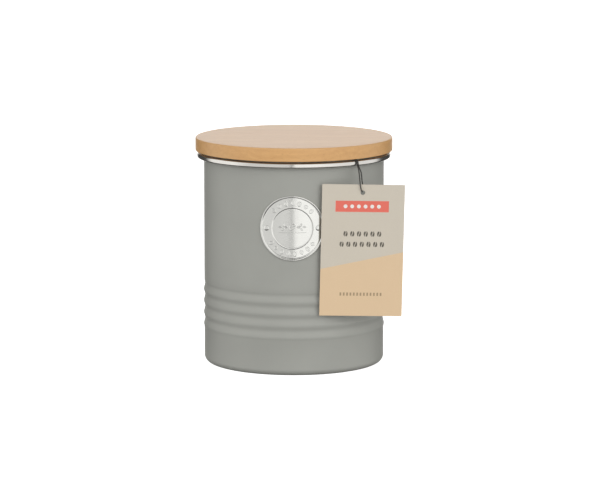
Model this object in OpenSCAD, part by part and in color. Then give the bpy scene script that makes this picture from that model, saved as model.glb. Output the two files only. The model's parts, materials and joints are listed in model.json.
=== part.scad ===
// Kitchen canister: coated steel tin with a polished rim, a riveted badge,
// a wooden lid with a silicone seal, and a card swing tag on a thin cord.
// Origin: centre of the base, on the surface it stands on. The badge faces -Y.

/* [Body] */
// Outer diameter of the straight part of the tin
body_d = 110; // [100:1:114]
// Height from the base to the top of the closed lid
total_h = 138.7; // [130:0.1:180]
// Thickness of the steel sheet
sheet_t = 0.6; // [0.4:0.1:0.8]
// Outer radius where the wall turns into the base
corner_r = 4; // [3:0.5:6]
// How far the middle of the base stands above the surface
base_lift = 1; // [0.5:0.1:2]

/* [Ribs] */
// Number of raised beads round the lower part of the wall
rib_count = 4; // [2:1:5]
// Distance from one bead to the next
rib_pitch = 7.2; // [6:0.2:8]
// How far each bead stands out of the wall, and each groove goes in
rib_h = 0.36; // [0.2:0.02:0.5]
// Height of the lowest bead's crest
rib_z = 23.4; // [18:0.2:26]

/* [Rim] */
// Outer diameter of the rolled rim
rim_d = 118.9; // [116:0.1:119.5]
// Height of the rolled rim
rim_h = 3.2; // [3:0.1:4]
// Radius of the rim's rounded corners
rim_r = 1.1; // [0.9:0.1:1.5]

/* [Lid] */
// Diameter of the lid board
lid_d = 120.4; // [120:0.1:124]
// Thickness of the lid board
lid_t = 8.1; // [6:0.1:12]
// Open gap between the lid board and the rim
lid_gap = 1.1; // [1.1:0.1:1.5]
// Rounding of the board's upper edge
lid_top_r = 0.8; // [0.5:0.1:1.5]
// Rounding of the board's lower edge
lid_low_r = 0.4; // [0.3:0.1:1.5]
// Diameter of the plug's neck, which the seal sits on
plug_d = 98.6; // [97:0.2:100]
// Depth of the plug below the board
plug_h = 12.6; // [12:0.1:16]

/* [Seal] */
// Outer diameter of the seal's flange under the board
flange_d = 112.4; // [112:0.1:114]
// Thickness of the seal's sleeve
sleeve_t = 1.2; // [1:0.1:1.4]
// Number of sealing fins
fin_count = 2; // [1:1:2]

/* [Badge] */
// Diameter of the round badge
badge_d = 39.6; // [34:0.2:40]
// Height of the badge's centre
badge_z = 90; // [85:1:95]
// Thickness of the badge's sheet
badge_t = 0.6; // [0.4:0.1:0.6]
// How far the badge's rings stand out of its sheet
ring_h = 0.45; // [0.2:0.05:0.45]
// Diameter of the inner ring
inner_ring_d = 25.2; // [22:0.2:26]
// Angle round the tin from the badge's centre to each rivet
rivet_angle = 16.3; // [15:0.1:16.5]
// Diameter of a rivet's head
rivet_d = 3.2; // [2.6:0.1:3.4]

/* [Swing tag] */
// Width of the card
tag_w = 49.6; // [40:0.1:52]
// Height of the card
tag_h = 79.5; // [70:0.5:85]
// Thickness of the card
tag_t = 0.5; // [0.3:0.1:0.6]
// Diameter of the punched hole
tag_hole_d = 2.8; // [2.6:0.1:3.2]
// Distance from the hole's centre to the card's top edge
tag_hole_drop = 4.9; // [4:0.1:6]
// Small turn of the hanging card, which the off-centre hole gives it
tag_roll = 1.3; // [0:0.1:3]

/* [Cord] */
// Diameter of the cord
cord_d = 0.7; // [0.5:0.1:0.8]

/* [Hidden] */
$fn = 128;

body_r = body_d / 2;
bore_r = body_r - sheet_t;
rim_ro = rim_d / 2;
lid_low_z = total_h - lid_t;
rim_top_z = lid_low_z - lid_gap;
rim_low_z = rim_top_z - rim_h;
fit = 0.05;                 // clearance between parts that turn or slide on each other
arc_n = 8;                  // straight steps in a rounded corner

wall_top_z = rim_low_z + sheet_t;
rib_top_z = rib_z + (rib_count - 1) * rib_pitch;
rib_n = 12;                 // straight steps in one bead's pitch

plug_r = plug_d / 2;
plug_low_z = lid_low_z - plug_h;
foot_h = 3.2;
foot_r = plug_r + sleeve_t + 0.5;
seal_top_z = lid_low_z - fit;
flange_low_z = rim_top_z + fit;
sleeve_low_z = plug_low_z + foot_h + fit;
fin_r = bore_r - 0.1;
fin_t = 0.9;
fin_pitch = 3.2;

badge_in_r = body_r + 0.02;
badge_out_r = badge_in_r + badge_t;
ring_w = 1.1;
inner_ring_w = 0.6;
rivet_shank_r = 1;
rivet_head_h = 0.7;
rivet_tail_r = 1.8;
rivet_tail_h = 0.5;

// The card hangs in an upright plane. u runs sideways along the card, w outward from
// the tin's axis, z up, and tag_az turns that frame round the tin.
tag_az = 5;
tag_front_w = 56.9;
tag_back_w = tag_front_w - tag_t;
tag_hole_u = 37.3;
tag_hole_z = 111.4;
tag_hole_side = 0.4;        // from the card's middle to the hole, toward the badge

// The knot lies on the rim, and both strands leave it side by side.
knot_r = 0.95;
knot_h = 0.9;
knot_u = 33.5;
knot_w = 47.4;
knot_z = rim_top_z + fit;

// Routes as [u, w, z]. The tails run from the knot over the rim's edge.
tail_a = [[33.4, 47.6, 130], [33.65, 48.2, 130], [33.95, 48.75, 129.7], [34.2, 49.1, 129.2]];
tail_b = [[33.65, 47.3, 130], [34.2, 47.7, 130], [34.75, 48.15, 129.7], [34.9, 48.55, 129.2]];
// The loop runs down in front of the card, through its hole and up behind it.
loop_path = [[34.3, 49.2, 128.5], [34.5, 49.5, 127.5], [34.85, 50.8, 125.9], [35.2, 52.1, 124.3],
             [35.4, 54.3, 121.5], [35.5, 56.3, 118.7], [35.6, 57.4, 116.9], [35.8, 57.95, 115.3],
             [36, 58.05, 114], [36.3, 57.8, 112.9], [36.75, 57.15, 112.05], [36.95, 56.4, 111.9],
             [37.1, 55.75, 112.25], [37.25, 55.3, 113.3], [37.3, 55.25, 114.5], [37.3, 55.1, 116],
             [36.95, 54.4, 118.3], [36.85, 53, 120.9], [36.6, 51.7, 123.1], [35.9, 50.5, 124.9],
             [35.35, 49.4, 126.5], [35.2, 48.85, 127.6], [35.05, 48.7, 128.5]];
cord_sides = 8;
steps_per_span = 2;

// Points on an arc, from one angle to another
function arc(cx, cy, r, from, to, n = arc_n) =
    [for (i = [0:n]) let (a = from + (to - from) * i / n) [cx + r * cos(a), cy + r * sin(a)]];

// Radius of the wall's outer face at height z: a plain cylinder with beads on its lower part
function wall_r(z) =
    (z < rib_z - rib_pitch / 4 || z > rib_top_z + rib_pitch * 3 / 4) ? body_r
    : body_r + rib_h * cos(360 * (z - rib_z) / rib_pitch);

function rib_heights() =
    let (n = (rib_count - 1) * rib_n + rib_n, z0 = rib_z - rib_pitch / 4)
    [for (i = [0:n]) z0 + i * rib_pitch / rib_n];

// The wall's section from the base upward, moved inward by inset
function wall_side(inset, corner, floor_z, top_z) = concat(
    arc(body_r - corner_r, corner_r, corner, -90, 0),
    [for (z = rib_heights()) [wall_r(z) - inset, z]],
    [[body_r - inset, top_z]]);

// A point between p1 and p2 on the smooth curve through p0 to p3
function smooth(p0, p1, p2, p3, t) =
    0.5 * (2 * p1 + (p2 - p0) * t + (2 * p0 - 5 * p1 + 4 * p2 - p3) * t * t
           + (3 * p1 - p0 - 3 * p2 + p3) * t * t * t);

function smooth_route(p, n = steps_per_span) =
    let (last = len(p) - 1)
    concat([for (i = [0:last - 1], k = [0:n - 1])
        smooth(p[max(i - 1, 0)], p[i], p[i + 1], p[min(i + 2, last)], k / n)], [p[last]]);

function unit(v) = v / norm(v);

// Direction of the route at point i
function heading(p, i) = unit(p[min(i + 1, len(p) - 1)] - p[max(i - 1, 0)]);

// Turns [u, w, z] into the part's own x, y, z
function place(p) = [p[0] * cos(tag_az) + p[1] * sin(tag_az),
                     p[0] * sin(tag_az) - p[1] * cos(tag_az), p[2]];

// A closed round tube along a route, each ring square to the route
module tube(route, d) {
    p = [for (q = route) place(q)];
    n = len(p);
    rings = [for (i = [0:n - 1])
        let (t = heading(p, i), side = unit(cross(t, [cos(tag_az), sin(tag_az), 0])), up = cross(side, t))
        for (k = [0:cord_sides - 1])
            let (a = 360 * k / cord_sides) p[i] + d / 2 * (cos(a) * side + sin(a) * up)];
    sides = [for (i = [0:n - 2], k = [0:cord_sides - 1])
        let (a = i * cord_sides, b = a + cord_sides, j = (k + 1) % cord_sides)
        [a + k, a + j, b + j, b + k]];
    first = [for (k = [cord_sides - 1:-1:0]) k];
    end = [for (k = [0:cord_sides - 1]) (n - 1) * cord_sides + k];
    polyhedron(rings, concat(sides, [first, end]), 4);
}

// Puts a shape drawn along +Z on the wall, pointing outward at an angle from the badge's centre
module on_wall(angle, r) {
    rotate([0, 0, angle]) translate([0, -r, badge_z]) rotate([90, 0, 0]) children();
}

module in_tag_frame(u, w, z) {
    rotate([0, 0, tag_az]) translate([u, -w, z]) children();
}

module tube_ring(r_in, r_out, h) {
    difference() {
        cylinder(r = r_out, h = h);
        translate([0, 0, -1]) cylinder(r = r_in, h = h + 2);
    }
}

module rivet_hole(angle) {
    on_wall(angle, body_r - 5) cylinder(r = rivet_shank_r + 0.03, h = 10);
}

module tin_shell() {
    inner_corner = corner_r - sheet_t;
    panel_r = body_r - corner_r - 6;
    outer = concat([[0, base_lift], [panel_r - base_lift, base_lift], [panel_r, 0]],
                   wall_side(0, corner_r, 0, wall_top_z));
    inner = concat([[0, base_lift + sheet_t], [panel_r - base_lift + sheet_t / 2, base_lift + sheet_t],
                    [panel_r + sheet_t / 2, sheet_t]],
                   wall_side(sheet_t, inner_corner, sheet_t, wall_top_z));
    n = len(inner);
    color([0.60, 0.60, 0.57]) difference() {
        rotate_extrude() polygon(concat(outer, [for (i = [n - 1:-1:0]) inner[i]]));
        rivet_hole(-rivet_angle);
        rivet_hole(rivet_angle);
    }
}

// The rolled rim is an open curl of sheet that grips the top edge of the wall
module rim_ring() {
    curl = concat([[bore_r, wall_top_z], [body_r, wall_top_z], [body_r, rim_low_z]],
                  arc(rim_ro - rim_r, rim_low_z + rim_r, rim_r, -90, 0),
                  arc(rim_ro - rim_r, rim_top_z - rim_r, rim_r, 0, 90),
                  arc(bore_r + rim_r, rim_top_z - rim_r, rim_r, 90, 180));
    hollow_r = rim_r - sheet_t;
    hollow_in = body_r + sheet_t;
    hollow_out = rim_ro - sheet_t;
    hollow_low = rim_low_z + sheet_t;
    hollow_top = rim_top_z - sheet_t;
    hollow = concat([[hollow_in, hollow_low]],
                    arc(hollow_out - hollow_r, hollow_low + hollow_r, hollow_r, -90, 0),
                    arc(hollow_out - hollow_r, hollow_top - hollow_r, hollow_r, 0, 90),
                    [[hollow_in, hollow_top]]);
    slit_w = 0.5;
    color([0.82, 0.80, 0.77]) rotate_extrude() difference() {
        polygon(curl);
        polygon(hollow);
        translate([hollow_in, rim_low_z - 1]) square([slit_w, sheet_t + 1.2]);
    }
}

// A round sheet bent to the wall, with a raised edge and a raised inner ring
module badge_plate() {
    color([0.85, 0.85, 0.84]) difference() {
        union() {
            badge_layer(badge_in_r, badge_out_r, 0, badge_d);
            badge_layer(badge_out_r - 0.1, badge_out_r + ring_h, badge_d - 2 * ring_w, badge_d);
            badge_layer(badge_out_r - 0.1, badge_out_r + ring_h / 2,
                        inner_ring_d - 2 * inner_ring_w, inner_ring_d);
        }
        rivet_hole(-rivet_angle);
        rivet_hole(rivet_angle);
    }
}

// The part of a curved layer between two diameters, seen from the front
module badge_layer(r_in, r_out, d_in, d_out) {
    intersection() {
        translate([0, 0, badge_z - badge_d]) tube_ring(r_in, r_out, 2 * badge_d);
        on_wall(0, body_r / 2) difference() {
            cylinder(d = d_out, h = body_r);
            if (d_in > 0) translate([0, 0, -1]) cylinder(d = d_in, h = body_r + 2);
        }
    }
}

// A rivet with a domed head outside and a flat tail inside, drawn along its own axis
module rivet(angle) {
    head_z = badge_out_r + 0.03;
    tail_z = bore_r - 0.07;
    head_r = rivet_d / 2;
    profile = concat([[0, tail_z - rivet_tail_h], [rivet_tail_r, tail_z - rivet_tail_h],
                      [rivet_tail_r, tail_z], [rivet_shank_r, tail_z], [rivet_shank_r, head_z]],
                     [for (i = [0:arc_n]) let (a = 90 * i / arc_n)
                        [head_r * cos(a), head_z + rivet_head_h * sin(a)]]);
    color([0.80, 0.80, 0.79]) on_wall(angle, 0) rotate_extrude() polygon(profile);
}

module rivet_left() {
    rivet(-rivet_angle);
}

module rivet_right() {
    rivet(rivet_angle);
}

module lid_board() {
    r = lid_d / 2;
    color([0.85, 0.70, 0.50]) rotate_extrude()
        polygon(concat([[0, lid_low_z]],
                       arc(r - lid_low_r, lid_low_z + lid_low_r, lid_low_r, -90, 0),
                       arc(r - lid_top_r, total_h - lid_top_r, lid_top_r, 0, 90),
                       [[0, total_h]]));
}

// The plug's foot is wider than its neck, so that it keeps the seal on
module lid_plug() {
    chamfer = 0.8;
    color([0.80, 0.66, 0.46]) rotate_extrude()
        polygon([[0, plug_low_z], [foot_r - chamfer, plug_low_z], [foot_r, plug_low_z + chamfer],
                 [foot_r, plug_low_z + foot_h], [plug_r, plug_low_z + foot_h],
                 [plug_r, lid_low_z], [0, lid_low_z]]);
}

// Silicone seal: a sleeve on the plug, a flange that rests on the rim, and soft fins
module lid_seal() {
    in_r = plug_r + fit;
    out_r = plug_r + sleeve_t;
    color([0.88, 0.88, 0.86]) rotate_extrude() union() {
        translate([in_r, sleeve_low_z]) square([out_r - in_r, seal_top_z - sleeve_low_z]);
        translate([in_r, flange_low_z]) square([flange_d / 2 - in_r, seal_top_z - flange_low_z]);
        for (i = [0:fin_count - 1])
            let (z = sleeve_low_z + 0.6 + i * fin_pitch)
            polygon([[out_r - 0.2, z], [fin_r, z + fin_t * 0.8], [fin_r, z + fin_t * 1.4],
                     [out_r - 0.2, z + fin_t * 1.2]]);
    }
}

module cord_knot() {
    edge = 0.3;
    color([0.08, 0.08, 0.08]) in_tag_frame(knot_u, knot_w, knot_z) rotate_extrude()
        polygon(concat([[0, 0]], arc(knot_r - edge, edge, edge, -90, 0, 4),
                       arc(knot_r - edge, knot_h - edge, edge, 0, 90, 4), [[0, knot_h]]));
}

module cord_tails() {
    color([0.08, 0.08, 0.08]) {
        tube(smooth_route(tail_a), cord_d);
        tube(smooth_route(tail_b), cord_d);
    }
}

module cord_loop() {
    color([0.08, 0.08, 0.08]) tube(smooth_route(loop_path), cord_d);
}

module swing_tag() {
    color([0.80, 0.75, 0.68]) in_tag_frame(tag_hole_u, tag_back_w, tag_hole_z) rotate([0, tag_roll, 0])
        difference() {
            translate([-tag_w / 2 + tag_hole_side, -tag_t, tag_hole_drop - tag_h])
                cube([tag_w, tag_t, tag_h]);
            translate([0, 1, 0]) rotate([90, 0, 0]) cylinder(d = tag_hole_d, h = tag_t + 2);
        }
}

tin_shell();
rim_ring();
badge_plate();
rivet_left();
rivet_right();
lid_board();
lid_plug();
lid_seal();
cord_knot();
cord_tails();
cord_loop();
swing_tag();
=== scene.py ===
"""The looks of the coffee canister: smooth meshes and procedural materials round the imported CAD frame."""
import json
import math

import bmesh
import bpy
import numpy as np
from mathutils import Matrix, Vector


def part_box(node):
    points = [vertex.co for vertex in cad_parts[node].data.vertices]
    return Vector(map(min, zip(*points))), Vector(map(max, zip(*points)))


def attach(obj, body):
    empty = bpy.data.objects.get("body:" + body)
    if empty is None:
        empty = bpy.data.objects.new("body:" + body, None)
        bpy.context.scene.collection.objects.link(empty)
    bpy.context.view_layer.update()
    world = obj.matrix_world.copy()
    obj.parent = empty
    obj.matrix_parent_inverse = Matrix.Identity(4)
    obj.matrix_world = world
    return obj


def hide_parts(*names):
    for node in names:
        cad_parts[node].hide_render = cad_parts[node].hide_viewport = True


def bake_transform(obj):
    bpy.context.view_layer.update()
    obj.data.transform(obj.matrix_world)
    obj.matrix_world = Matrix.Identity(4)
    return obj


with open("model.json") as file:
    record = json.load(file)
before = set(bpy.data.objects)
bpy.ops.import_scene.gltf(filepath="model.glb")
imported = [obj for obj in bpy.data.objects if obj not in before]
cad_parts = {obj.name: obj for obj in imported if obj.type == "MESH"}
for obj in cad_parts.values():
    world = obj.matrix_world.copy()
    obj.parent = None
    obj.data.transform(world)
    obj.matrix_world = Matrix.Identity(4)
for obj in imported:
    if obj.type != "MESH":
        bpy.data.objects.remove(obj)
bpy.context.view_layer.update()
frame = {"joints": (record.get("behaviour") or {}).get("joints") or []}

MM = 0.001
TAU = 2 * math.pi
AXIS_STEPS = 256  # steps round the tin in every turned piece


# ---------------------------------------------------------------- sizes from the frame

def joint(name):
    return next(j for j in frame["joints"] if j["name"] == name)


board_low, board_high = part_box("lid_board")
rim_low, rim_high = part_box("rim_ring")
shell_low, shell_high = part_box("tin_shell")
plug_low, plug_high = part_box("lid_plug")
seal_low, seal_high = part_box("lid_seal")
badge_low, badge_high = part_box("badge_plate")
knot_low, knot_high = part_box("cord_knot")

SHEET = 0.6 * MM
BODY_R = 55 * MM
BORE_R = BODY_R - SHEET
LID_R = board_high.x
RIM_R = rim_high.x

swing_hole = Vector(joint("tag_swing")["pos_m"])
tag_out = Vector(joint("tag_swing")["axis"])
tag_along = Vector((-tag_out.y, tag_out.x, 0))


# ---------------------------------------------------------------- camera

def make_camera():
    """A long lens, a little above the tin, level, and turned one degree from the badge."""
    data = bpy.data.cameras.new("camera")
    data.lens = 207.8
    data.sensor_width = 36
    camera = bpy.data.objects.new("camera", data)
    camera.location = (0.0378, -2.1002, 0.3980)
    camera.rotation_euler = (math.radians(90 - 8.92), 0, math.radians(0.93))
    bpy.context.scene.collection.objects.link(camera)
    bpy.context.scene.camera = camera


make_camera()


# ---------------------------------------------------------------- mesh helpers

def new_object(name, verts, faces, sharp=35):
    mesh = bpy.data.meshes.new(name)
    mesh.from_pydata([tuple(v) for v in verts], [], faces)
    mesh.validate()
    mesh.shade_smooth()
    mesh.set_sharp_from_angle(angle=math.radians(sharp))
    obj = bpy.data.objects.new(name, mesh)
    bpy.context.scene.collection.objects.link(obj)
    return obj


def arc(cx, cy, r, start, end, steps=12):
    angles = np.radians(np.linspace(start, end, steps + 1))
    return [(cx + r * math.cos(a), cy + r * math.sin(a)) for a in angles]


def turned(name, profile, steps=AXIS_STEPS, closed=True, sharp=35):
    """A solid of revolution about Z. profile is (r, z), and goes round the section once."""
    verts, rings = [], []
    for r, z in profile:
        if r < 1e-7:
            rings.append([len(verts)])
            verts.append((0, 0, z))
            continue
        rings.append(list(range(len(verts), len(verts) + steps)))
        verts += [(r * math.cos(TAU * k / steps), r * math.sin(TAU * k / steps), z) for k in range(steps)]
    pairs = list(zip(rings, rings[1:]))
    if closed:
        pairs.append((rings[-1], rings[0]))
    faces = []
    for a, b in pairs:
        for k in range(steps):
            j = (k + 1) % steps
            if len(a) == 1 and len(b) == 1:
                break
            if len(a) == 1:
                faces.append((a[0], b[j], b[k]))
            elif len(b) == 1:
                faces.append((a[k], a[j], b[0]))
            else:
                faces.append((a[k], a[j], b[j], b[k]))
    return new_object(name, verts, faces, sharp)


def smooth_route(points, steps):
    """Catmull-Rom curve through the points."""
    p = [np.array(q, float) for q in points]
    out = []
    for i in range(len(p) - 1):
        a, b, c, d = p[max(i - 1, 0)], p[i], p[i + 1], p[min(i + 2, len(p) - 1)]
        for k in range(steps):
            t = k / steps
            out.append(0.5 * (2 * b + (c - a) * t + (2 * a - 5 * b + 4 * c - d) * t * t
                              + (3 * b - a - 3 * c + d) * t ** 3))
    return out + [p[-1]]


def evenly(points, step):
    """The same line with its points step apart."""
    p = np.array(points)
    along = np.concatenate([[0], np.cumsum(np.linalg.norm(np.diff(p, axis=0), axis=1))])
    s = np.linspace(0, along[-1], max(2, int(round(along[-1] / step)) + 1))
    return np.stack([np.interp(s, along, p[:, i]) for i in range(3)], axis=1), s


def tube(name, line, s, radius_at, sides, loop=False):
    """A tube along line. radius_at(angle, length along) gives its radius, so that plies can twist round it."""
    n = len(line)
    tangent = np.gradient(line, axis=0)
    if loop:
        tangent = np.roll(line, -1, axis=0) - np.roll(line, 1, axis=0)
    tangent /= np.linalg.norm(tangent, axis=1)[:, None]
    side = np.cross(tangent[0], (0.3, 0.2, 0.9))
    verts = []
    for i in range(n):
        side = side - tangent[i] * np.dot(side, tangent[i])
        side /= np.linalg.norm(side)
        up = np.cross(tangent[i], side)
        for k in range(sides):
            a = TAU * k / sides
            verts.append(line[i] + radius_at(a, s[i]) * (math.cos(a) * side + math.sin(a) * up))
    faces = []
    for i in range(n if loop else n - 1):
        b = (i + 1) % n * sides
        for k in range(sides):
            j = (k + 1) % sides
            faces.append((i * sides + k, i * sides + j, b + j, b + k))
    if not loop:
        faces.append(tuple(reversed(range(sides))))
        faces.append(tuple((n - 1) * sides + k for k in range(sides)))
    return new_object(name, verts, faces, 60)


# ---------------------------------------------------------------- the tag's cord

CORD_D = 0.7 * MM

# The routes in the tag's upright frame: along the card, outward from the tin's axis, up. Metres.
TAIL_A = [(0.03340, 0.04760, 0.1300), (0.03365, 0.04820, 0.1300), (0.03395, 0.04875, 0.1297),
          (0.03420, 0.04910, 0.1292)]
TAIL_B = [(0.03365, 0.04730, 0.1300), (0.03420, 0.04770, 0.1300), (0.03475, 0.04815, 0.1297),
          (0.03490, 0.04855, 0.1292)]
LOOP = [(0.03430, 0.04920, 0.1285), (0.03450, 0.04950, 0.1275), (0.03485, 0.05080, 0.1259),
        (0.03520, 0.05210, 0.1243), (0.03540, 0.05430, 0.1215), (0.03550, 0.05630, 0.1187),
        (0.03560, 0.05740, 0.1169), (0.03580, 0.05795, 0.1153), (0.03600, 0.05805, 0.1140),
        (0.03630, 0.05780, 0.1129), (0.03675, 0.05715, 0.11205), (0.03695, 0.05640, 0.1119),
        (0.03710, 0.05575, 0.11225), (0.03725, 0.05530, 0.1133), (0.03730, 0.05525, 0.1145),
        (0.03730, 0.05510, 0.1160), (0.03695, 0.05440, 0.1183), (0.03685, 0.05300, 0.1209),
        (0.03660, 0.05170, 0.1231), (0.03590, 0.05050, 0.1249), (0.03535, 0.04940, 0.1265),
        (0.03520, 0.04885, 0.1276), (0.03505, 0.04870, 0.1285)]


def from_tag_frame(p):
    return tag_along * p[0] + tag_out * p[1] + Vector((0, 0, p[2]))


def make_cord():
    """One thread of two twisted plies: knot, over the rim, through the card and back to the knot."""
    route = smooth_route([from_tag_frame(p) for p in TAIL_A + LOOP + TAIL_B[::-1]], 10)
    line, s = evenly(route, 0.16 * MM)
    lay = 1.9 * MM  # length of one full twist

    def radius(angle, along):
        ply = math.cos(2 * (angle - TAU * along / lay))
        return CORD_D / 2 * (0.97 + 0.10 * ply)

    cord = tube("tag_cord", line, s, radius, 14)
    return cord, line, s[-1]


def make_knot():
    """A tight flat overhand knot: a squashed three-lobed loop of the same thread."""
    low, high = knot_low, knot_high
    centre = (low + high) / 2
    ply_r = 0.29 * MM
    reach = (high.x - low.x) / 2 - ply_r
    rise = (high.z - low.z) / 2 - ply_r
    t = np.linspace(0, TAU, 120, endpoint=False)
    ring = (2 + np.cos(3 * t)) / 3 * reach
    line = np.stack([centre.x + ring * np.cos(2 * t), centre.y + ring * np.sin(2 * t),
                     centre.z + rise * np.sin(3 * t)], axis=1)
    s = np.arange(len(t)) * 0.1 * MM
    return tube("cord_knot_thread", line, s, lambda a, x: ply_r * (1 + 0.06 * math.cos(2 * a - 9 * x / MM)), 12, True)


# ---------------------------------------------------------------- material helpers

class Shader:
    """A material's node tree, with short calls for the nodes that the surfaces use."""

    def __init__(self, name):
        self.mat = bpy.data.materials.new(name)
        self.mat.use_nodes = True
        self.tree = self.mat.node_tree
        self.tree.nodes.clear()
        self.out = self.node("ShaderNodeOutputMaterial")
        self.bsdf = self.node("ShaderNodeBsdfPrincipled")
        self.link(self.bsdf.outputs[0], self.out.inputs["Surface"])

    def node(self, kind, **settings):
        made = self.tree.nodes.new(kind)
        for key, value in settings.items():
            setattr(made, key, value)
        return made

    def link(self, source, target):
        self.tree.links.new(source, target)
        return target

    def put(self, socket, value):
        """A number, a colour, or another node's output, onto a socket."""
        if isinstance(value, bpy.types.NodeSocket):
            self.link(value, socket)
        elif isinstance(value, (tuple, list)) and len(value) == 3 and socket.type == "RGBA":
            socket.default_value = (*value, 1)
        else:
            socket.default_value = value

    def set(self, **values):
        for key, value in values.items():
            self.put(self.bsdf.inputs[key.replace("_", " ")], value)
        return self

    def coords(self, scale=(1, 1, 1), offset=(0, 0, 0)):
        """Object coordinates, which are the row frame's metres, scaled and moved."""
        source = self.node("ShaderNodeTexCoord").outputs["Object"]
        mapping = self.node("ShaderNodeMapping")
        mapping.inputs["Scale"].default_value = scale
        mapping.inputs["Location"].default_value = offset
        self.link(source, mapping.inputs["Vector"])
        return mapping.outputs[0]

    def noise(self, vector, scale, detail=2.0, rough=0.5, distortion=0.0):
        n = self.node("ShaderNodeTexNoise")
        self.put(n.inputs["Vector"], vector)
        n.inputs["Scale"].default_value = scale
        n.inputs["Detail"].default_value = detail
        n.inputs["Roughness"].default_value = rough
        n.inputs["Distortion"].default_value = distortion
        return n.outputs["Fac"]

    def math(self, operation, a, b=0.0, c=0.0, clamp=False):
        n = self.node("ShaderNodeMath", operation=operation, use_clamp=clamp)
        for socket, value in zip(n.inputs, (a, b, c)):
            self.put(socket, value)
        return n.outputs[0]

    def spread(self, value, low, high, to_low=0.0, to_high=1.0):
        n = self.node("ShaderNodeMapRange")
        for socket, v in zip(n.inputs, (value, low, high, to_low, to_high)):
            self.put(socket, v)
        return n.outputs[0]

    def mix(self, factor, a, b, blend="MIX"):
        n = self.node("ShaderNodeMix", data_type="RGBA", blend_type=blend)
        self.put(n.inputs["Factor"], factor)
        self.put(n.inputs[6], a)
        self.put(n.inputs[7], b)
        return n.outputs[2]

    def bump(self, height, strength, distance):
        n = self.node("ShaderNodeBump")
        n.inputs["Strength"].default_value = strength
        n.inputs["Distance"].default_value = distance
        self.put(n.inputs["Height"], height)
        self.link(n.outputs[0], self.bsdf.inputs["Normal"])
        return self


def split(shader, vector):
    n = shader.node("ShaderNodeSeparateXYZ")
    shader.put(n.inputs[0], vector)
    return n.outputs


# ---------------------------------------------------------------- materials

def coated_steel():
    """Satin grey powder coat: a faint orange-peel surface and slightly uneven tone."""
    m = Shader("coated_steel")
    where = m.coords()
    tone = m.noise(where, 35, 3)
    speck = m.noise(where, 2600, 2)
    colour = m.mix(m.spread(tone, 0.3, 0.7), (0.322, 0.326, 0.301), (0.341, 0.345, 0.318))
    colour = m.mix(m.spread(speck, 0.35, 0.8, 0, 0.12), colour, (0.44, 0.44, 0.41))
    m.set(Base_Color=colour, Roughness=m.spread(speck, 0.3, 0.7, 0.40, 0.50), IOR=1.47)
    m.bump(m.noise(where, 1100, 2), 0.12, 0.06 * MM)
    return m.mat


def polished_steel(name, colour, rough, wear):
    """Bright steel with fine hairlines that run round the tin, and a little uneven polish."""
    m = Shader(name)
    where = m.coords()
    x, y, z = split(m, where)
    around = m.math("ARCTAN2", x, y)
    join = m.node("ShaderNodeCombineXYZ")
    m.put(join.inputs[0], m.math("MULTIPLY", around, 0.02))
    m.put(join.inputs[2], z)
    hair = m.noise(join.outputs[0], 9000, 3)
    smear = m.noise(where, 60, 3)
    shade = m.mix(m.spread(smear, 0.3, 0.75, 0, wear), colour, tuple(0.82 * c for c in colour))
    m.set(Base_Color=shade, Metallic=1.0,
          Roughness=m.math("ADD", m.spread(smear, 0.3, 0.7, rough, rough * 1.5), m.spread(hair, 0.3, 0.7, 0, 0.04)))
    m.bump(hair, 0.05, 0.02 * MM)
    return m.mat


def wood(name, light, dark, rough):
    """Oiled beech: growth rings about a far pith, long grain along X, short dark flecks and open pores."""
    m = Shader(name)
    where = m.coords()
    bend = m.noise(m.coords((6, 60, 60)), 1.0, 3)
    x, y, z = split(m, where)
    across = m.math("ADD", y, 0.021)
    down = m.math("ADD", z, 0.09)
    far = m.math("SQRT", m.math("ADD", m.math("MULTIPLY", across, across), m.math("MULTIPLY", down, down)))
    rings = m.math("ADD", m.math("MULTIPLY", far, 420), m.math("MULTIPLY", bend, 9))
    wave = m.math("PINGPONG", rings, 1.0)
    long_grain = m.noise(m.coords((22, 620, 620)), 1.0, 4, 0.6)
    fine_grain = m.noise(m.coords((160, 3800, 3800)), 1.0, 3, 0.6)
    flecks = m.noise(m.coords((330, 2300, 2300), (0.3, 0.1, 0.2)), 1.0, 1)
    patch = m.noise(m.coords((7, 26, 26)), 1.0, 2)
    amount = m.math("ADD", m.spread(wave, 0, 1, 0.0, 0.30), m.spread(long_grain, 0.3, 0.75, 0.0, 0.55))
    amount = m.math("ADD", amount, m.spread(patch, 0.3, 0.7, -0.12, 0.18), clamp=True)
    colour = m.mix(amount, light, dark)
    colour = m.mix(m.spread(fine_grain, 0.5, 0.8, 0, 0.30), colour, tuple(0.72 * c for c in dark))
    colour = m.mix(m.spread(flecks, 0.66, 0.74, 0, 0.35), colour, tuple(0.6 * c for c in dark))
    m.set(Base_Color=colour, Roughness=m.spread(fine_grain, 0.3, 0.8, rough, rough + 0.14), IOR=1.48)
    m.bump(m.math("ADD", m.math("MULTIPLY", fine_grain, 0.7), m.math("MULTIPLY", long_grain, 0.3)), 0.25, 0.05 * MM)
    return m.mat


def silicone():
    """Silicone coloured a dark brownish grey, partly painted shade for the slot under the lid, with a dusty skin."""
    m = Shader("silicone")
    where = m.coords()
    dust = m.noise(where, 900, 3)
    # Painted shade: both greys are darkened so that the seal reads as the shaded slot under the lid; the dust noise
    # only varies the tone between them.
    colour = m.mix(m.spread(dust, 0.35, 0.75, 0, 0.6), (0.30, 0.27, 0.23), (0.36, 0.33, 0.28))
    m.set(Base_Color=colour, Roughness=m.spread(dust, 0.3, 0.7, 0.45, 0.62), IOR=1.41,
          Subsurface_Weight=0.25, Subsurface_Scale=1.5 * MM)
    m.bump(dust, 0.08, 0.03 * MM)
    return m.mat


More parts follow.
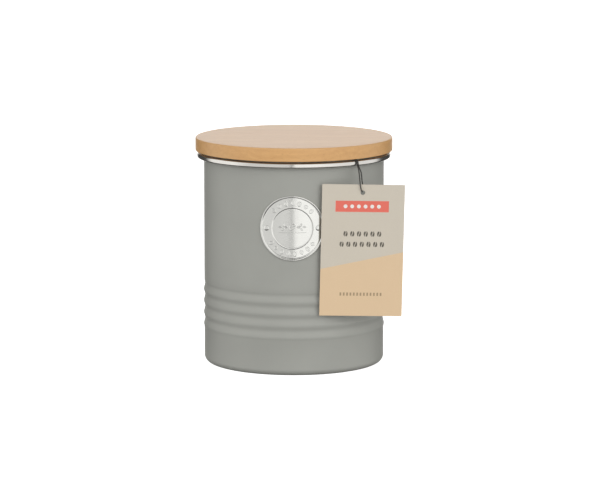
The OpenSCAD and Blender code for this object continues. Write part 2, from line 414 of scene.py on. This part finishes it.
def thread():
    """Black waxed thread: fibres that lie along the plies."""
    m = Shader("thread")
    where = m.coords()
    fibre = m.noise(where, 9000, 3)
    colour = m.mix(m.spread(fibre, 0.35, 0.7), (0.012, 0.011, 0.010), (0.050, 0.046, 0.042))
    m.set(Base_Color=colour, Roughness=m.spread(fibre, 0.3, 0.7, 0.5, 0.7), Sheen_Weight=0.15)
    m.bump(fibre, 0.3, 0.05 * MM)
    return m.mat


def card(name, colour, fibre_colour):
    """Uncoated printed card with paper fibres."""
    m = Shader(name)
    fibres = m.noise(m.coords((1, 1, 1)), 1500, 4, 0.65)
    cloud = m.noise(m.coords(), 90, 2)
    shade = m.mix(m.spread(fibres, 0.4, 0.75, 0, 0.5), colour, fibre_colour)
    shade = m.mix(m.spread(cloud, 0.3, 0.7, 0, 0.10), shade, tuple(0.9 * c for c in colour))
    m.set(Base_Color=shade, Roughness=m.spread(fibres, 0.3, 0.7, 0.72, 0.85), IOR=1.40)
    m.bump(fibres, 0.12, 0.03 * MM)
    return m.mat


# ---------------------------------------------------------------- the tin

RIB_FIRST = 23.4 * MM
RIB_PITCH = 7.2 * MM
RIB_COUNT = 4
RIB_HEIGHT = 0.36 * MM
BASE_LIFT = 1 * MM
CORNER = 4 * MM


def wall_radius(z):
    """The outer face: plain, with four beads low on the wall."""
    start = RIB_FIRST - RIB_PITCH / 4
    end = RIB_FIRST + (RIB_COUNT - 0.25) * RIB_PITCH
    if not start < z < end:
        return BODY_R
    return BODY_R + RIB_HEIGHT * math.cos(TAU * (z - RIB_FIRST) / RIB_PITCH)


def make_shell():
    top = shell_high.z
    start = RIB_FIRST - RIB_PITCH / 4
    end = RIB_FIRST + (RIB_COUNT - 0.25) * RIB_PITCH
    heights = [*np.linspace(start, end, 20 * RIB_COUNT + 1), *np.linspace(end + 4 * MM, top, 8)]
    panel = BODY_R - CORNER - 6 * MM
    step = 0.3 * MM

    def side(inset):
        return [(wall_radius(z) - inset, z) for z in heights]

    def base(thick):
        """From the raised middle out to the ring that the tin stands on."""
        return [(0, BASE_LIFT + thick), (panel - BASE_LIFT - step, BASE_LIFT + thick),
                *arc(panel - BASE_LIFT - step, BASE_LIFT + thick - step, step, 90, 45, 3)[1:],
                (panel, thick)]

    outer = base(0) + arc(BODY_R - CORNER, CORNER, CORNER, -90, 0, 14) + side(0)
    inner = base(SHEET) + arc(BODY_R - CORNER, CORNER, CORNER - SHEET, -90, 0, 14) + side(SHEET)
    return turned("tin_body", outer + inner[::-1])


def make_rim():
    """The rolled edge: an open curl of polished sheet with its seam against the wall."""
    r = 1.1 * MM
    low, top = rim_low.z, rim_high.z
    wall_top = shell_high.z
    t = SHEET
    outer = ([(BODY_R + 0.1 * MM, low + t), (BODY_R + 0.1 * MM, low)]
             + arc(RIM_R - r, low + r, r, -90, 0, 16) + arc(RIM_R - r, top - r, r, 0, 90, 16)
             + arc(BORE_R + r, top - r, r, 90, 180, 16) + [(BORE_R, wall_top), (BODY_R + t, wall_top)])
    hollow = (arc(BODY_R + t + 0.3 * MM, top - t - 0.3 * MM, 0.3 * MM, 180, 90, 5)
              + arc(RIM_R - r, top - r, r - t, 90, 0, 8) + arc(RIM_R - r, low + r, r - t, 0, -90, 8)
              + [(BODY_R + t + 0.5 * MM, low + t)])
    return turned("rolled_rim", outer + hollow[:-1])


# ---------------------------------------------------------------- lid

def make_board():
    top_r, low_r = 0.8 * MM, 0.4 * MM
    low, top = board_low.z, board_high.z
    profile = ([(0, low), (30 * MM, low), (50 * MM, low)] + arc(LID_R - low_r, low + low_r, low_r, -90, 0, 12)
               + arc(LID_R - top_r, top - top_r, top_r, 0, 90, 10)
               + [(50 * MM, top), (30 * MM, top), (0, top)])
    return turned("wooden_board", profile, closed=False)


def make_plug():
    low, top, foot = plug_low.z, plug_high.z, plug_high.x
    neck, foot_h, edge = foot - 1.7 * MM, 3.2 * MM, 0.9 * MM
    profile = ([(0, low), (30 * MM, low)] + arc(foot - edge, low + edge, edge, -90, 0, 8)
               + [(foot, low + foot_h), (neck, low + foot_h), (neck, top), (0, top)])
    return turned("wooden_plug", profile, closed=False)


def make_seal():
    """The seal's section: flange under the board, sleeve round the neck, two soft upturned fins."""
    neck = plug_high.x - 1.7 * MM
    inner, sleeve, flange = neck + 0.05 * MM, neck + 1.2 * MM, seal_high.x
    low, top = seal_low.z, seal_high.z
    under = top - 1.0 * MM
    fin_tip = BORE_R - 0.1 * MM
    profile = [(inner, low), (sleeve, low)]
    for k in range(2):
        z = low + 0.6 * MM + k * 3.2 * MM
        profile += [(sleeve, z), (fin_tip - 0.5 * MM, z + 0.62 * MM)]
        profile += arc(fin_tip - 0.22 * MM, z + 0.98 * MM, 0.22 * MM, -60, 100, 6)
        profile += [(sleeve, z + 1.08 * MM)]
    profile += [(sleeve, under)]
    profile += arc(flange - 0.3 * MM, under + 0.3 * MM, 0.3 * MM, -90, 0, 4)
    profile += arc(flange - 0.3 * MM, top - 0.3 * MM, 0.3 * MM, 0, 90, 4)
    profile += [(inner, top)]
    return turned("silicone_seal", profile)


# ---------------------------------------------------------------- badge

BADGE_R = (badge_high.z - badge_low.z) / 2
BADGE_Z = (badge_low.z + badge_high.z) / 2
BADGE_SHEET = 0.6 * MM
BADGE_BACK = BODY_R + 0.02 * MM


def bumped(distance, half_width, soft):
    """1 inside half_width of a line, falling smoothly to 0 over soft."""
    t = np.clip((half_width + soft / 2 - np.abs(distance)) / soft, 0, 1)
    return t * t * (3 - 2 * t)


def leaf(a, b, wide, tall):
    """Relief of an outlined leaf with a midrib, 0 to 1. a runs across it and b along it, in mm."""
    outline = np.abs(a) - wide * (1 - (b / tall) ** 2)
    rib = bumped(a, 0.10, 0.3) * bumped(b, tall, 0.3)
    return np.maximum(bumped(outline, 0.13, 0.32), rib) * bumped(b, tall + 0.15, 0.3)


def outlined_bean(a, b, wide, tall):
    """Relief of an outlined coffee bean with its slit, 0 to 1, in the same directions as leaf."""
    outline = (np.hypot(a / wide, b / tall) - 1) * (wide + tall) / 2
    inside = np.clip(-outline * 4, 0, 1)
    slit = bumped(a - 0.3 * wide * np.sin(2.1 * b / tall), 0.10, 0.3) * inside
    return np.maximum(bumped(outline, 0.15, 0.35), slit)


EDGE_IN = 0.62      # middle of the raised edge, in from the disc's rim, mm
GROOVE_IN = 0.88    # middle of the groove, in from the raised edge, mm
RING_R = 12.4       # raised inner ring, mm
BORDER_R = 15.45    # middle of the border's marks, mm
MIDDLE_V = 0.9      # the middle bean above the disc's centre, mm


def badge_relief(u, v):
    """Height of the embossing in mm at a place on the unrolled disc, in mm from its centre."""
    rho = np.hypot(u, v)
    angle = np.degrees(np.arctan2(v, u)) % 360
    edge_r = BADGE_R / MM - EDGE_IN
    height = bumped(rho - edge_r, 0.42, 0.4) * 0.42 - bumped(rho - edge_r + GROOVE_IN, 0.22, 0.4) * 0.16
    height = height + bumped(rho - RING_R, 0.14, 0.45) * 0.22 - bumped(rho - RING_R + 0.5, 0.12, 0.4) * 0.08
    # The border: beans and leaves in turn, above and below, clear of the rivets
    for middle, pitch, count in ((89.0, 15.7, 7), (268.5, 15.4, 8)):
        for k in range(count):
            at = middle + (k - (count - 1) / 2) * pitch
            across = (angle - at) * math.pi / 180 * rho
            near = (np.abs(across) < 3) & (np.abs(rho - BORDER_R) < 3)
            shape = outlined_bean if k % 2 == 0 else leaf
            height = height + 0.13 * np.where(near, shape(across, rho - BORDER_R, 0.95, 1.35), 0)
    # The middle: one bean between two sprays of leaves, over a thin line
    c, s = math.cos(0.6), math.sin(0.6)
    rise = v - MIDDLE_V
    a, b = u * s - rise * c, u * c + rise * s
    height = height + 0.11 * outlined_bean(a, b, 1.5, 2.2)
    for side in (-1, 1):
        for x, y, turn in ((3.9, 0.9, 5), (5.3, 2.2, 50), (5.5, -0.3, -40), (7.4, 1.0, 5)):
            c, s = math.cos(math.radians(turn)), math.sin(math.radians(turn)) * side
            p, q = u - side * x, v - y
            near = np.hypot(p, q) < 2.5
            height = height + 0.09 * np.where(near, leaf(q * c - p * s, p * c + q * s, 0.5, 1.15), 0)
    return height + 0.07 * bumped(v + 2.5, 0.10, 0.3) * bumped(u, 8.5, 0.8)


def make_badge():
    """The embossed disc, bent to the wall: a fine polar grid on the front and a plain back."""
    around, out = 720, 150
    rho = np.linspace(0, BADGE_R, out + 1)[1:]
    angle = np.linspace(0, TAU, around, endpoint=False)
    grid_r, grid_a = np.meshgrid(rho, angle, indexing="ij")
    u, v = grid_r * np.cos(grid_a), grid_r * np.sin(grid_a)
    front = BADGE_BACK + BADGE_SHEET + badge_relief(u / MM, v / MM) * MM
    # The last rows round over the cut edge
    fall = np.clip((grid_r - (BADGE_R - 0.25 * MM)) / (0.25 * MM), 0, 1)
    front = front - 0.2 * MM * fall ** 2

    def bent(u, v, radius):
        a = u / (BODY_R + BADGE_SHEET)
        return np.stack([radius * np.sin(a), -radius * np.cos(a), BADGE_Z + v], axis=-1)

    centre_r = BADGE_BACK + BADGE_SHEET + float(badge_relief(np.array([0.0]), np.array([0.0]))[0]) * MM
    verts = [(0, -centre_r, BADGE_Z)] + [tuple(p) for p in bent(u, v, front).reshape(-1, 3)]
    back_start = len(verts)
    back_rows = (1.0, 0.75, 0.5, 0.25)
    for share in back_rows:
        bu, bv = share * BADGE_R * np.cos(angle), share * BADGE_R * np.sin(angle)
        verts += [tuple(p) for p in bent(bu, bv, np.full(around, BADGE_BACK))]
    verts.append((0, -BADGE_BACK, BADGE_Z))
    last = len(verts) - 1

    def at(row, k):
        return 1 + row * around + k % around

    def back(row, k):
        return back_start + row * around + k % around

    faces = []
    for k in range(around):
        faces.append((0, at(0, k), at(0, k + 1)))
        faces += [(at(i, k), at(i + 1, k), at(i + 1, k + 1), at(i, k + 1)) for i in range(out - 1)]
        faces.append((at(out - 1, k), back(0, k), back(0, k + 1), at(out - 1, k + 1)))
        faces += [(back(i, k), back(i + 1, k), back(i + 1, k + 1), back(i, k + 1))
                  for i in range(len(back_rows) - 1)]
        faces.append((back(len(back_rows) - 1, k), last, back(len(back_rows) - 1, k + 1)))
    return new_object("embossed_badge", verts, faces, 60)


# ---------------------------------------------------------------- swing tag

TAG_W = 49.6 * MM
TAG_H = 79.5 * MM
TAG_T = 0.5 * MM
TAG_ROLL = math.radians(1.3)
HOLE_R = 1.4 * MM
HOLE_DROP = 4.9 * MM
HOLE_SIDE = 0.4 * MM  # from the card's middle to its hole
INK = 0.012 * MM  # how far a printed layer stands off the card


def tag_matrix():
    """From the card's own plane, x along it and y up from its lower left corner, z out of its front."""
    right = tag_along * math.cos(TAG_ROLL) - Vector((0, 0, 1)) * math.sin(TAG_ROLL)
    up = tag_along * math.sin(TAG_ROLL) + Vector((0, 0, 1)) * math.cos(TAG_ROLL)
    turn = Matrix((right, up, tag_out)).transposed()
    corner = swing_hole - right * (TAG_W / 2 - HOLE_SIDE) - up * (TAG_H - HOLE_DROP)
    corner = corner + tag_out * (TAG_T / 2)
    return Matrix.Translation(corner) @ turn.to_4x4()


def sorted_mesh(name, bm):
    """A mesh with its points and faces in order of place, so that every run builds the same one."""
    faces = []
    for face in bm.faces:
        corners = [tuple(v.co) for v in face.verts]
        first = corners.index(min(corners))
        faces.append(tuple(corners[first:] + corners[:first]))
    faces.sort()
    points = sorted({corner for face in faces for corner in face})
    number = {point: k for k, point in enumerate(points)}
    mesh = bpy.data.meshes.new(name)
    mesh.from_pydata(points, [], [[number[corner] for corner in face] for face in faces])
    return mesh


def plate(name, outlines, z_low, z_high, holes=()):
    """Flat plates from outlines in the card's plane, each with its own thickness. A hole goes in the first."""
    bm = bmesh.new()
    for i, outline in enumerate(outlines):
        edges = []
        for loop in [outline] + (list(holes) if i == 0 else []):
            made = [bm.verts.new((x, y, z_low)) for x, y in loop]
            edges += [bm.edges.new((made[k], made[(k + 1) % len(made)])) for k in range(len(made))]
        filled = bmesh.ops.triangle_fill(bm, use_beauty=True, use_dissolve=True, edges=edges)
        faces = [g for g in filled["geom"] if isinstance(g, bmesh.types.BMFace)]
        raised = bmesh.ops.extrude_face_region(bm, geom=faces)
        top = [g for g in raised["geom"] if isinstance(g, bmesh.types.BMVert)]
        bmesh.ops.translate(bm, verts=top, vec=(0, 0, z_high - z_low))
    bmesh.ops.recalc_face_normals(bm, faces=bm.faces)
    mesh = sorted_mesh(name, bm)
    bm.free()
    mesh.transform(tag_matrix())
    obj = bpy.data.objects.new(name, mesh)
    bpy.context.scene.collection.objects.link(obj)
    return obj


def oblong(cx, cy, w, h):
    return [(cx - w / 2, cy - h / 2), (cx + w / 2, cy - h / 2), (cx + w / 2, cy + h / 2), (cx - w / 2, cy + h / 2)]


def disc(cx, cy, rx, ry, steps=28):
    return [(cx + rx * math.cos(TAU * k / steps), cy + ry * math.sin(TAU * k / steps)) for k in range(steps)]


def bean_halves(cx, cy, rx, ry):
    """A coffee bean seen from above: two halves with a curved gap between them."""
    steps, gap = 14, 0.16 * rx

    def seam(t):
        return cx + 0.22 * rx * math.sin(math.pi * t)

    halves = []
    for side in (-1, 1):
        ts = np.linspace(-0.86, 0.86, steps)
        curve = [(seam(t) + side * gap, cy + ry * t) for t in ts]
        rim = [(cx + side * max(rx * math.sqrt(1 - t * t), 0.3 * rx), cy + ry * t * 1.04) for t in ts[::-1]]
        halves.append(curve + rim)
    return halves


def make_tag():
    """The card, and the generic print on it in place of any wording."""
    hole = disc(TAG_W / 2 - HOLE_SIDE, TAG_H - HOLE_DROP, HOLE_R, HOLE_R, 48)
    base = plate("tag_card", [[(0, 0), (TAG_W, 0), (TAG_W, TAG_H), (0, TAG_H)]], -TAG_T, 0, [hole])
    left, right = 28.3 * MM, 38.9 * MM  # where the slanting edge of the tan panel meets the card's sides
    tan_panel = plate("tag_tan_panel", [[(0, 0), (TAG_W, 0), (TAG_W, right), (0, left)]], 0, INK)
    band = plate("tag_band", [oblong(24.2 * MM, 66.3 * MM, 32 * MM, 6.7 * MM)], 0, INK)
    dots = plate("tag_band_dots", [disc(x * MM, 66.3 * MM, 1.15 * MM, 1.15 * MM)
                                   for x in np.linspace(14.2, 34.2, 6)], INK, 2 * INK)
    beans = [half for x in np.linspace(14.6, 34.8, 6) for half in bean_halves(x * MM, 49.7 * MM, 1.25 * MM, 1.75 * MM)]
    beans += [half for x in np.linspace(12.4, 36.6, 7) for half in bean_halves(x * MM, 43.4 * MM, 1.25 * MM, 1.75 * MM)]
    beans = plate("tag_beans", beans, 0, INK)
    ticks = plate("tag_ticks", [oblong(x * MM, 13.2 * MM, 1.0 * MM, 1.9 * MM) for x in np.linspace(12.4, 36.6, 13)],
                  INK, 2 * INK)
    return base, tan_panel, band, dots, beans, ticks


# ---------------------------------------------------------------- rivets

def make_rivet(node, name):
    """A domed head with a small flat rim outside the badge, the shank, and a flat tail inside the wall."""
    low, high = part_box(node)
    middle = (low + high) / 2
    angle = math.atan2(middle.x, -middle.y)
    head, base = 1.6 * MM, BADGE_BACK + BADGE_SHEET + 0.03 * MM
    rise = 0.7 * MM
    tail = BORE_R - 0.07 * MM
    profile = ([(0, tail - 0.5 * MM)] + arc(1.6 * MM, tail - 0.3 * MM, 0.2 * MM, -90, 0, 4)
               + [(1.8 * MM, tail), (1.0 * MM, tail), (1.0 * MM, base), (head, base), (head, base + 0.12 * MM)]
               + [(head * math.cos(t), base + 0.12 * MM + (rise - 0.12 * MM) * math.sin(t))
                  for t in np.linspace(0.12, math.pi / 2, 12)[:-1]] + [(0, base + rise)])
    rivet = turned(name, profile, 48, closed=False)
    turn = Matrix.Rotation(angle, 4, "Z") @ Matrix.Rotation(math.pi / 2, 4, "X")
    rivet.data.transform(Matrix.Translation((0, 0, BADGE_Z)) @ turn)
    return rivet


# ---------------------------------------------------------------- studio

def make_bowl():
    """A white floor that turns up into a round wall, so that every side of the tin is seen against white."""
    radius, bend, rise = 7.0, 1.5, 7.0
    corner = [(radius - bend + bend * math.sin(t), bend - bend * math.cos(t)) for t in np.linspace(0, math.pi / 2, 12)]
    floor = turned("floor", [(0, 0), (2.0, 0)] + corner + [(radius, rise)], 96, closed=False, sharp=180)
    floor.data.flip_normals()
    white = Shader("floor_white")
    tone = white.noise(white.coords(), 0.4, 2)
    white.set(Base_Color=white.mix(tone, (0.90, 0.90, 0.90), (0.94, 0.94, 0.94)), Roughness=0.9,
              Emission_Color=(1, 1, 1), Emission_Strength=0.85)
    floor.data.materials.append(white.mat)
    # The lamps and the surround light the tin as if the floor were not there
    floor.visible_glossy = False
    floor.visible_diffuse = False
    floor.visible_transmission = False
    floor.visible_shadow = False


def make_surround():
    """What the tin is lit by and mirrors: front diffusers, dark flags behind them, a white card at the back."""
    world = bpy.data.worlds.new("studio")
    bpy.context.scene.world = world
    world.use_nodes = True
    nodes = Shader.__new__(Shader)
    nodes.tree = world.node_tree
    nodes.tree.nodes.clear()
    x, y, z = split(nodes, nodes.node("ShaderNodeTexCoord").outputs["Generated"])
    # Degrees from straight in front of the tin, positive to the right, and degrees above the horizon
    turn = nodes.math("MULTIPLY", nodes.math("ARCTAN2", x, nodes.math("MULTIPLY", y, -1.0)), 180 / math.pi)
    lift = nodes.math("MULTIPLY", nodes.math("ARCSINE", z), 180 / math.pi)

    def window(value, low, high, low_soft, high_soft):
        up = nodes.spread(value, low - low_soft, low + low_soft)
        down = nodes.spread(value, high - high_soft, high + high_soft, 1.0, 0.0)
        return nodes.math("MULTIPLY", up, down)

    def panel(strength, turn_edges, lift_edges):
        shape = nodes.math("MULTIPLY", window(turn, *turn_edges), window(lift, *lift_edges))
        return nodes.math("MULTIPLY", shape, strength)

    parts = [panel(0.95, (0.0, 48, 0.6, 16), (-32, 62, 8, 6)),
             panel(0.78, (48, 120, 16, 6), (-32, 62, 8, 6)),
             panel(0.64, (-64, -2.4, 12, 0.6), (-32, 62, 8, 6)),
             panel(0.90, (-120, -64, 6, 12), (-32, 62, 8, 6)),
             panel(1.50, (162, 200, 5, 5), (-20, 40, 5, 10)),
             panel(1.50, (-200, -162, 5, 5), (-20, 40, 5, 10))]
    light = 0.06
    for part in parts:
        light = nodes.math("ADD", part, light)
    background = nodes.node("ShaderNodeBackground")
    background.inputs["Color"].default_value = (1.0, 0.995, 0.98, 1)
    nodes.put(background.inputs["Strength"], light)
    nodes.link(background.outputs[0], nodes.node("ShaderNodeOutputWorld").inputs[0])


def lamp(name, at, size, power):
    data = bpy.data.lights.new(name, "AREA")
    data.size = size
    data.energy = power
    obj = bpy.data.objects.new(name, data)
    obj.location = at
    obj.rotation_euler = (Vector((0, 0, 0.08)) - Vector(at)).to_track_quat("-Z", "Y").to_euler()
    obj.visible_glossy = False
    bpy.context.scene.collection.objects.link(obj)


def make_studio():
    bpy.context.scene.view_settings.view_transform = "Standard"
    make_bowl()
    make_surround()
    lamp("key_right", (1.2, -1.5, 0.7), 0.9, 8)
    lamp("fill_left", (-1.2, -1.4, 0.7), 0.9, 7)
    lamp("fill_front", (0.2, -2.1, 0.7), 0.6, 3)


# ---------------------------------------------------------------- assembly

def dress(obj, material, slot, body, *nodes):
    obj.data.materials.append(material)
    if body:
        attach(obj, body)
    if nodes:
        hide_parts(*nodes)
    return obj


black = thread()
cord, cord_line, cord_length = make_cord()
dress(cord, black, "cord", None, "cord_tails", "cord_loop")
knot = dress(make_knot(), black, "cord", "tin", "cord_knot")
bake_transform(cord)

dress(make_shell(), coated_steel(), "coated_steel", "tin", "tin_shell")
dress(make_rim(), polished_steel("polished_rim", (0.86, 0.84, 0.80), 0.10, 0.3), "polished_rim", "tin", "rim_ring")
badge_steel = polished_steel("badge_steel", (0.90, 0.90, 0.87), 0.14, 0.3)
dress(make_badge(), badge_steel, "badge_steel", "tin", "badge_plate")
for side in ("left", "right"):
    rivet = make_rivet(f"rivet_{side}", f"rivet_{side}_dome")
    dress(rivet, badge_steel, "rivet_steel", "tin", f"rivet_{side}")

dress(make_seal(), silicone(), "silicone", "seal", "lid_seal")
oiled = wood("lid_wood", (0.693, 0.410, 0.173), (0.578, 0.315, 0.126), 0.30)
dress(make_board(), oiled, "lid_wood", "lid", "lid_board")
bare = wood("plug_wood", (0.735, 0.504, 0.294), (0.567, 0.347, 0.179), 0.55)
dress(make_plug(), bare, "plug_wood", "lid", "lid_plug")

tag_card, tag_tan, tag_band, tag_dots, tag_beans, tag_ticks = make_tag()
greige = card("card_greige", (0.585, 0.533, 0.450), (0.63, 0.58, 0.50))
dress(tag_card, greige, "card", "tag", "swing_tag")
dress(tag_tan, card("card_tan", (0.70, 0.52, 0.335), (0.73, 0.56, 0.38)), "card", "tag")
dress(tag_band, card("card_coral", (0.75, 0.165, 0.125), (0.80, 0.22, 0.17)), "card", "tag")
dress(tag_dots, card("card_white", (0.80, 0.78, 0.74), (0.84, 0.82, 0.78)), "card", "tag")
dress(tag_beans, card("card_dark", (0.13, 0.12, 0.10), (0.18, 0.16, 0.14)), "card", "tag")
dress(tag_ticks, card("card_brown", (0.36, 0.27, 0.17), (0.42, 0.32, 0.21)), "card", "tag")

make_studio()
